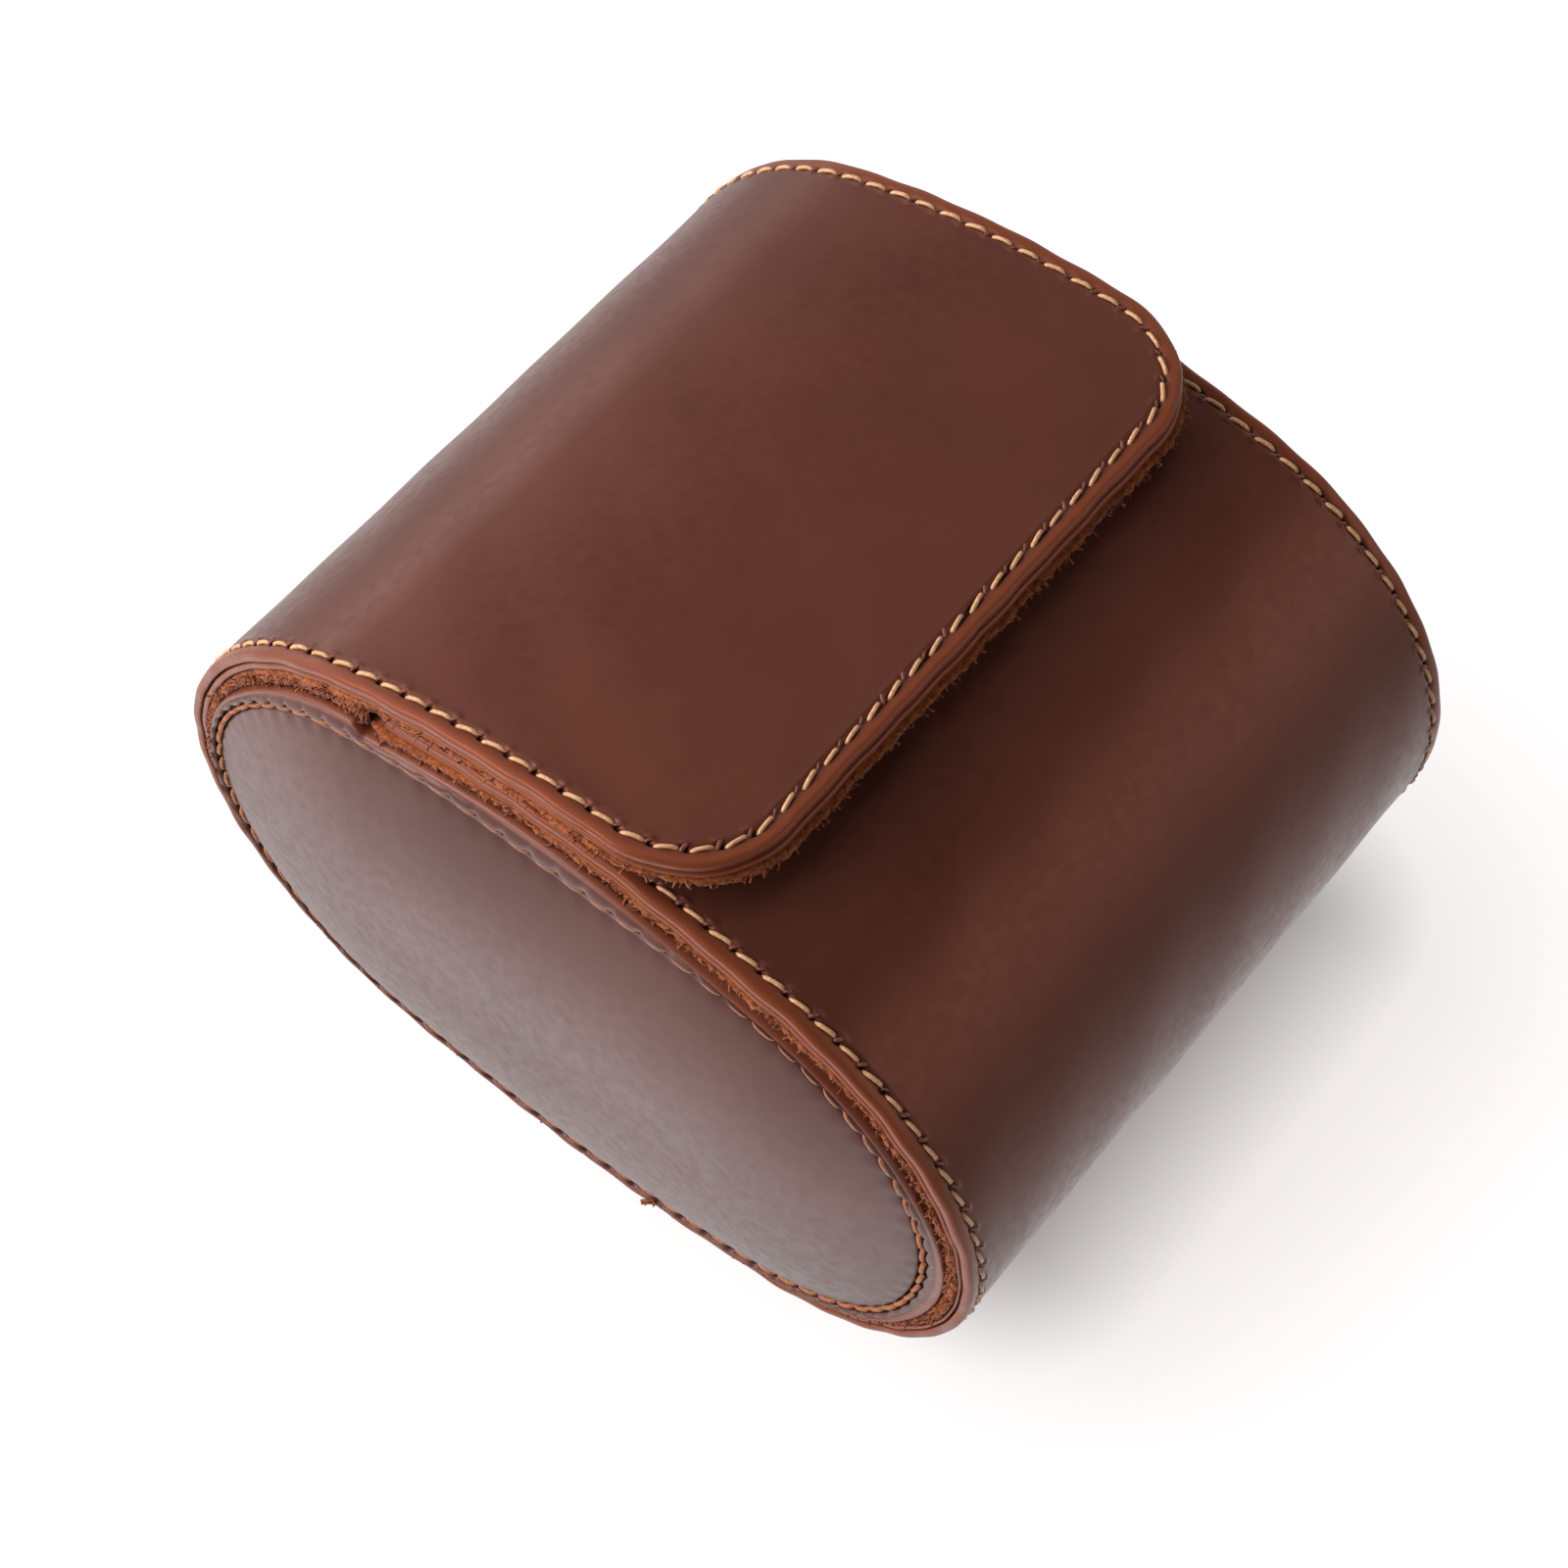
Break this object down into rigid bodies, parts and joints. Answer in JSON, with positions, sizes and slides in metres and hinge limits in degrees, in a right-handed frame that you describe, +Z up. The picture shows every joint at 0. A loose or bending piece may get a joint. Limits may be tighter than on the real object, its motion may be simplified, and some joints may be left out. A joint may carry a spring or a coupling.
{
  "type": "watch roll",
  "caption": "Closed leather watch roll with padded oval end caps, a closing flap, a front panel and a lift-out watch cushion.",
  "frame": {"origin": "on the floor under the middle of the closed roll", "axes": "X along the roll from its left cap to its right cap, -Y to the front where the flap closes, +Z up"},
  "size_m": [0.102, 0.1124, 0.0815],
  "materials": {
    "waxed_leather": "satin waxed",
    "burnished_edge": "burnished",
    "suede": "napped suede",
    "waxed_thread": "waxed",
    "brown_thread": "waxed",
    "cap_leather": "smooth satin",
    "foam": "open cell",
    "greyboard": "uncoated board",
    "cushion_suede": "napped suede",
    "plated_magnet": "nickel plated"
  },
  "bodies": {
    "case": {"body_leather": "waxed_leather", "body_backing": "burnished_edge", "body_lining": "suede", "body_thread_left": "waxed_thread", "body_thread_right": "waxed_thread", "left_cap_leather": "cap_leather", "left_cap_thread": "brown_thread", "left_cap_foam": "foam", "left_cap_board": "greyboard", "left_cap_lining": "suede", "right_cap_leather": "cap_leather", "right_cap_thread": "brown_thread", "right_cap_foam": "foam", "right_cap_board": "greyboard", "right_cap_lining": "suede"},
    "flap": {"flap_leather": "waxed_leather", "flap_backing": "burnished_edge", "flap_lining": "suede", "flap_thread": "waxed_thread", "flap_magnet_left": "plated_magnet", "flap_magnet_right": "plated_magnet"},
    "front_panel": {"front_leather": "waxed_leather", "front_backing": "burnished_edge", "front_lining": "suede", "front_thread": "waxed_thread", "front_magnet_left": "plated_magnet", "front_magnet_right": "plated_magnet"},
    "cushion": {"cushion_cover": "cushion_suede", "cushion_foam": "foam", "cushion_end_left": "cushion_suede", "cushion_end_right": "cushion_suede"}
  },
  "joints": [
    {"name": "flap_hinge", "type": "hinge", "parent": "case", "child": "flap", "pos_m": [0, 0.05529, 0.0294], "axis": [-1, 0, 0], "range_deg": [0, 120]},
    {"name": "front_panel_hinge", "type": "hinge", "parent": "case", "child": "front_panel", "pos_m": [0, -0.05529, 0.0294], "axis": [1, 0, 0], "range_deg": [0, 60]},
    {"name": "cushion_lift", "type": "slide", "parent": "case", "child": "cushion", "axis": [0, 0, 1], "range_m": [0, 0.06]}
  ],
  "couplings": [
    {"joint": "front_panel_hinge", "follows": "flap_hinge", "ratio": 0.5},
    {"joint": "cushion_lift", "follows": "flap_hinge", "m_per_rad": 0.028648}
  ]
}
